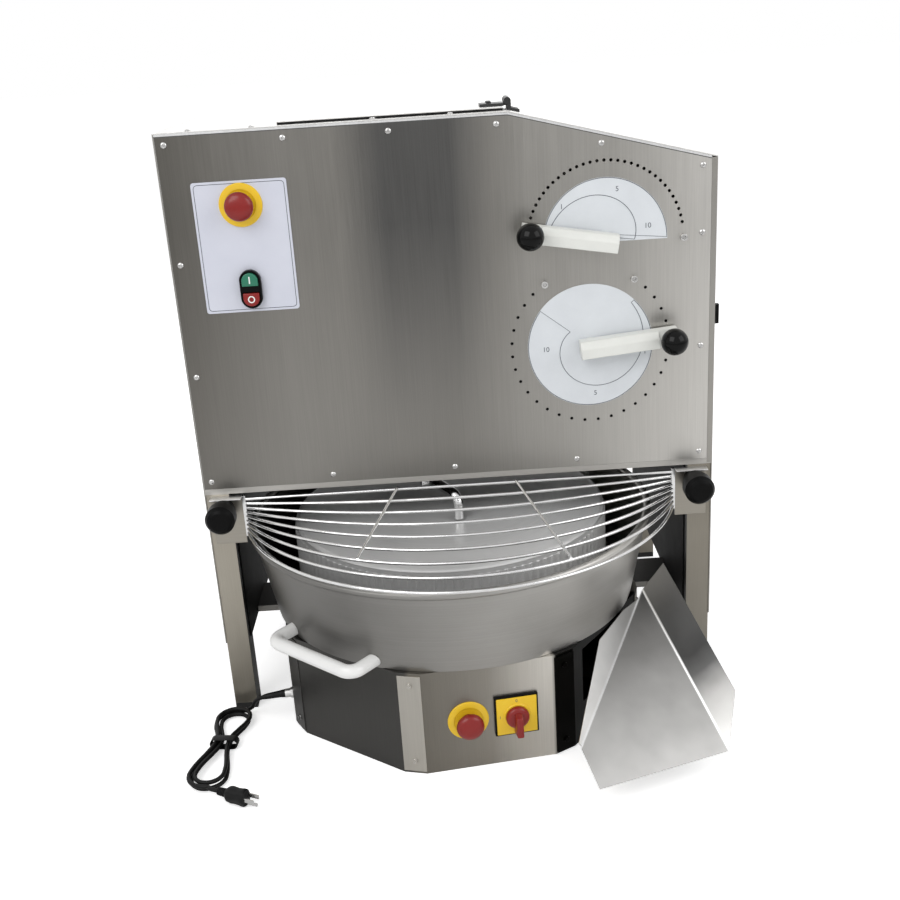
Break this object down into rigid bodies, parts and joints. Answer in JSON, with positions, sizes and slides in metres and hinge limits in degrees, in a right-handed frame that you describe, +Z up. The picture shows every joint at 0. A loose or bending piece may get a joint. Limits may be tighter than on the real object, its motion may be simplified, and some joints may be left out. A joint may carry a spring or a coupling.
{
  "type": "dough divider rounder",
  "caption": "Free-standing dough divider and rounder: a sheet-steel dividing head on legs over a rounding bowl with a fluted drum, wire guard, setting levers and outlet chute.",
  "frame": {"origin": "on the drum's axis at floor level", "axes": "+Z up along the drum's axis, front cover faces -Y, +X to the right as seen from the front"},
  "size_m": [0.819, 0.8127, 0.9161],
  "materials": {
    "brushed_sheet": "vertically brushed",
    "leg_steel": "satin",
    "rubber": "matt",
    "dark_sheet": "dull",
    "screw_steel": "bright",
    "food_steel": "satin",
    "black_hinge": "satin",
    "motor_paint": "satin",
    "cast_housing": "machined",
    "pale_plate": "satin",
    "yellow_plastic": "satin",
    "red_plastic": "semi-gloss",
    "black_plastic": "glossy",
    "green_plastic": "semi-gloss",
    "white_plate": "satin",
    "offwhite_paint": "gloss",
    "track_plastic": "satin",
    "bright_wire": "polished",
    "guard_steel": "satin",
    "cast_aluminium": "turned and satin",
    "white_plastic": "semi-gloss",
    "base_sheet": "brushed",
    "gland_metal": "nickel-plated",
    "cord_rubber": "matt"
  },
  "bodies": {
    "frame": {"left_side_panel": "brushed_sheet", "right_side_panel": "brushed_sheet", "rear_panel": "brushed_sheet", "roof_sheet": "brushed_sheet", "front_cover": "brushed_sheet", "head_floor": "brushed_sheet", "front_legs": "leg_steel", "rear_legs": "leg_steel", "frame_rails": "leg_steel", "leg_feet": "rubber", "lid_gasket": "rubber", "skirt_liners": "dark_sheet", "tie_plates": "dark_sheet", "cover_screws": "screw_steel", "dial_stop_screws": "screw_steel", "hopper": "food_steel", "roof_hinges": "black_hinge", "auger_motor": "motor_paint", "drive_motor": "motor_paint", "spindle_housing": "cast_housing", "control_plate": "pale_plate", "estop_collar": "yellow_plastic", "base_estop_collar": "yellow_plastic", "main_switch_plate": "yellow_plastic", "twin_bezel": "black_plastic", "dial_plates": "white_plate", "drip_tube": "bright_wire", "base_panels": "base_sheet", "base_corner_strips": "base_sheet", "chute": "base_sheet", "chute_bracket": "base_sheet", "cable_gland": "gland_metal", "plug_pins": "gland_metal", "power_cord": "cord_rubber", "cord_hank": "cord_rubber", "cord_tie": "cord_rubber", "plug": "cord_rubber"},
    "guard": {"guard_wires": "bright_wire", "guard_plates": "guard_steel"},
    "guard_knob_left": {"guard_knob_left": "black_plastic"},
    "guard_knob_right": {"guard_knob_right": "black_plastic"},
    "hopper_lid": {"hopper_lid": "brushed_sheet", "lid_hinges": "black_hinge"},
    "feed_auger": {"feed_auger": "food_steel"},
    "portion_piston": {"portion_piston": "food_steel"},
    "upper_lever": {"upper_lever": "offwhite_paint"},
    "upper_knob": {"upper_knob": "black_plastic"},
    "lower_lever": {"lower_lever": "offwhite_paint"},
    "lower_knob": {"lower_knob": "black_plastic"},
    "rounding_track": {"rounding_track": "track_plastic"},
    "estop_button": {"estop_button": "red_plastic"},
    "start_button": {"start_button": "green_plastic"},
    "stop_button": {"stop_button": "red_plastic"},
    "bowl": {"bowl": "cast_aluminium", "bowl_handle": "white_plastic"},
    "rounding_drum": {"rounding_drum": "cast_aluminium"},
    "base_estop_button": {"base_estop_button": "red_plastic"},
    "main_switch_handle": {"main_switch_handle": "red_plastic"},
    "side_latch": {"side_latch": "black_hinge"}
  },
  "joints": [
    {"name": "guard_slide", "type": "slide", "parent": "frame", "child": "guard", "axis": [0, -1, 0], "range_m": [0, 0.3]},
    {"name": "guard_knob_left_turn", "type": "hinge", "parent": "guard", "child": "guard_knob_left", "pos_m": [-0.337, -0.0877, 0.352], "axis": [0, 1, 0], "continuous": true},
    {"name": "guard_knob_right_turn", "type": "hinge", "parent": "guard", "child": "guard_knob_right", "pos_m": [0.369, -0.0877, 0.352], "axis": [0, 1, 0], "continuous": true},
    {"name": "lid_hinge", "type": "hinge", "parent": "frame", "child": "hopper_lid", "pos_m": [0.1155, 0.094, 0.9111], "axis": [0, 1, 0], "range_deg": [0, 110]},
    {"name": "auger_turn", "type": "hinge", "parent": "frame", "child": "feed_auger", "pos_m": [-0.084, 0.1, 0.745], "axis": [1, 0, 0], "continuous": true},
    {"name": "upper_lever_turn", "type": "hinge", "parent": "frame", "child": "upper_lever", "pos_m": [0.2418, -0.085, 0.718], "axis": [0, 1, 0], "range_deg": [0, 160]},
    {"name": "upper_knob_pull", "type": "slide", "parent": "upper_lever", "child": "upper_knob", "axis": [0, -1, 0], "range_m": [0, 0.005]},
    {"name": "piston_slide", "type": "slide", "parent": "frame", "child": "portion_piston", "axis": [1, 0, 0], "range_m": [0, 0.0378]},
    {"name": "lower_lever_turn", "type": "hinge", "parent": "frame", "child": "lower_lever", "pos_m": [0.2184, -0.085, 0.568], "axis": [0, 1, 0], "range_deg": [-40, 230]},
    {"name": "lower_knob_pull", "type": "slide", "parent": "lower_lever", "child": "lower_knob", "axis": [0, -1, 0], "range_m": [0, 0.005]},
    {"name": "track_lift", "type": "slide", "parent": "frame", "child": "rounding_track", "axis": [0, 0, 1], "range_m": [-0.0095, 0.0543]},
    {"name": "estop_press", "type": "slide", "parent": "frame", "child": "estop_button", "axis": [0, 1, 0], "range_m": [0, 0.004]},
    {"name": "start_press", "type": "slide", "parent": "frame", "child": "start_button", "axis": [0, 1, 0], "range_m": [0, 0.003], "stiffness_N_per_m": 400},
    {"name": "stop_press", "type": "slide", "parent": "frame", "child": "stop_button", "axis": [0, 1, 0], "range_m": [0, 0.003], "stiffness_N_per_m": 400},
    {"name": "bowl_turn", "type": "hinge", "parent": "frame", "child": "bowl", "pos_m": [0, 0, 0.1653], "axis": [0, 0, 1], "range_deg": [0, 20]},
    {"name": "drum_turn", "type": "hinge", "parent": "frame", "child": "rounding_drum", "pos_m": [0, 0, 0.3], "axis": [0, 0, 1], "continuous": true},
    {"name": "base_estop_press", "type": "slide", "parent": "frame", "child": "base_estop_button", "axis": [-0.1444, 0.9895, 0], "range_m": [0, 0.004]},
    {"name": "main_switch_turn", "type": "hinge", "parent": "frame", "child": "main_switch_handle", "pos_m": [0.07759, -0.26861, 0.08], "axis": [-0.1444, 0.9895, 0], "range_deg": [0, 90]},
    {"name": "side_latch_turn", "type": "hinge", "parent": "frame", "child": "side_latch", "pos_m": [0.398, -0.043, 0.593], "axis": [1, 0, 0], "range_deg": [0, 90]}
  ],
  "couplings": [
    {"joint": "piston_slide", "follows": "upper_lever_turn", "m_per_rad": 0.0135},
    {"joint": "track_lift", "follows": "lower_lever_turn", "m_per_rad": 0.0135}
  ]
}
